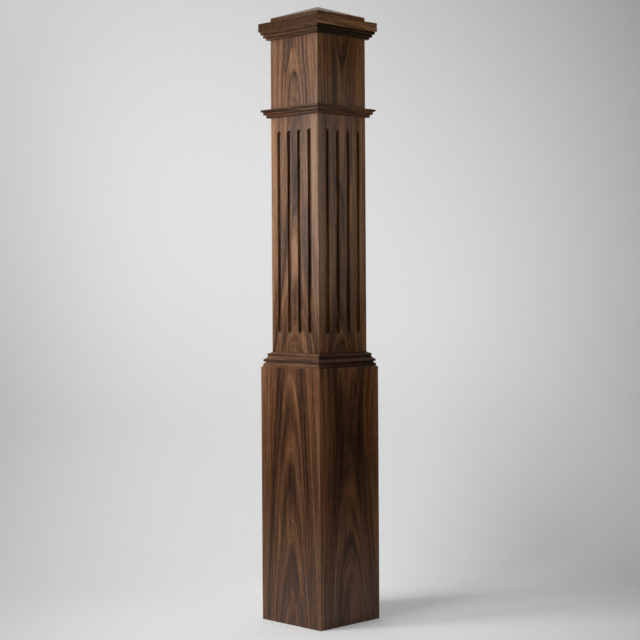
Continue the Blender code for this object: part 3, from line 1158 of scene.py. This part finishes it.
nothing_selected()
bpy.ops.mesh.primitive_plane_add(size=1, location=(0, 0, 0))
sweep = bpy.context.object
sweep.name = "paper_sweep"
sweep.rotation_euler.z = AZIMUTH
sweep.scale = (PAPER_WIDTH, FLOOR_IN_FRONT + FLOOR_BEHIND, 1)
sweep.location = stage_point(0, (FLOOR_IN_FRONT - FLOOR_BEHIND) / 2, 0)
settle()
edit_mode(True)
pick("EDGE", lambda e: all(near(v.co.dot(towards), -FLOOR_BEHIND) for v in e.verts))
bend_line = stage_point(0, -FLOOR_BEHIND, BEND_RADIUS)
bpy.ops.mesh.spin(steps=BEND_STEPS, angle=-pi / 2, center=bend_line, axis=rightward)
bpy.ops.mesh.extrude_region_move(TRANSFORM_OT_translate={"value": (0, 0, WALL_HEIGHT)})
bpy.ops.mesh.select_all(action="SELECT")
bpy.ops.mesh.remove_doubles(threshold=CLOSE)
edit_mode(False)
bpy.ops.object.shade_smooth()
print(f"sweep: {len(sweep.data.polygons)} faces, {sweep.dimensions.z:.2f} m tall")

# %% [markdown]
# ### Paper
# The paper is a dull pale grey, a little cloudy. Large lamps would light it softly, but they would
# wash the wood out as well, so the paper itself glows in a few round pools that fade to nothing.
# Seen from behind it is clear, so the post can be looked at from every side.

# %% Paper finish
# Each pool has its middle, how far it reaches, and how bright it is there.
LIT_POOLS = (
    (stage_point(0.30, -0.65, 0.65), 1.35, 0.24),
    (stage_point(0.2, 0.6, 0.0), 1.2, 0.13),
    (stage_point(0, 1.55, 0), 1.4, 0.45),
)
FAINTEST_GLOW = 0.01
PULP_WAVES = (0.02, 0.02, 0.02)
PULP_DARK = (0.79, 0.79, 0.79, 1)
PULP_PALE = (0.81, 0.81, 0.81, 1)

paper = bpy.data.materials.new("paper")
paper.use_nodes = True
tree = paper.node_tree
shader = tree.nodes["Principled BSDF"]
where = add_node(tree, "TexCoord").outputs["Object"]
lit = FAINTEST_GLOW
for middle, reach, brightness in LIT_POOLS:
    shrunk = (1 / reach, 1 / reach, 1 / reach)
    mapping = fill(tree, add_node(tree, "Mapping", (where,)), Location=-middle / reach, Scale=shrunk)
    pool = add_node(tree, "TexGradient", (mapping.outputs[0],), gradient_type="SPHERICAL").outputs["Fac"]
    lit = maths(tree, "MULTIPLY_ADD", pool, brightness, lit)
glow = add_node(tree, "CombineColor", (lit, lit, lit)).outputs[0]
pulp = add_node(tree, "Mix", data_type="RGBA")
fill(tree, pulp, Factor=cloud(tree, where, PULP_WAVES, detail=3.0, rough=0.6), A=PULP_DARK, B=PULP_PALE)
fill(tree, shader, Base_Color=pulp.outputs["Result"], Roughness=0.9, Specular_IOR_Level=0.1)
fill(tree, shader, Emission_Color=glow, Emission_Strength=1.0)

from_behind = add_node(tree, "NewGeometry").outputs["Backfacing"]
clear = add_node(tree, "BsdfTransparent").outputs["BSDF"]
one_way = add_node(tree, "MixShader", (from_behind, shader.outputs["BSDF"], clear))
fill(tree, tree.nodes["Material Output"], Surface=one_way.outputs["Shader"])
sweep.data.materials.append(paper)

# %% [markdown]
# ## Lights
# The left face of the post is more than twice as bright as the right one, and a soft shadow falls
# on the floor behind and to the right. So two key lights stand at the left, one of them high up,
# and a near one and a wide one soften them. Two weak lamps at the right keep that side from going
# black. Their powers were found by rendering each lamp alone and adding the pictures up.

# %% Soft lights round the post
# Angle round the post, 0 in front of the left visible face, then distance, height, height aimed
# at, width and height of the lamp, in metres, and its power in watts.
LAMPS = {
    "key": (-25, 2.0, 1.7, 0.8, 0.6, 0.6, 16.3),
    "high_key": (0, 1.2, 3.0, 0.8, 0.5, 0.5, 22.0),
    "near_key": (-25, 0.75, 1.0, 0.9, 0.3, 0.5, 4.5),
    "wide_fill": (-45, 2.0, 1.1, 0.9, 1.0, 1.0, 0.75),
    "fill": (105, 0.75, 1.05, 1.0, 0.4, 0.5, 1.21),
    "low_fill": (125, 0.9, 1.0, 0.95, 0.3, 0.6, 0.68),
}
nothing_selected()
for name, (angle, distance, height, aimed_at, wide, tall, watts) in LAMPS.items():
    turn = radians(angle)
    stand = Vector((sin(turn) * distance, -cos(turn) * distance, height))
    bpy.ops.object.light_add(type="AREA", location=stand)
    light = bpy.context.object
    light.name = name
    light.data.shape = "RECTANGLE"
    light.data.size = wide
    light.data.size_y = tall
    light.data.energy = watts
    light.rotation_euler = (Vector((0, 0, aimed_at)) - stand).to_track_quat("-Z", "Y").to_euler()
    light.visible_camera = False
print(f"{len(LAMPS)} lights, {sum(lamp[-1] for lamp in LAMPS.values()):.1f} W in all")

# %% [markdown]
# ## World
# Beyond the paper the room is a pale grey for the camera alone. Light path tells a camera's ray
# from a bounced one, so the grey shows behind the post and gives it no light of its own.

# %% Surroundings
PALE_GREY = (0.66, 0.66, 0.67, 1)
world = bpy.data.worlds.new("studio")
bpy.context.scene.world = world
world.use_nodes = True
tree = world.node_tree
seen = add_node(tree, "LightPath").outputs["Is Camera Ray"]
fill(tree, tree.nodes["Background"], Color=PALE_GREY, Strength=seen)
bpy.context.scene.view_settings.view_transform = "Standard"
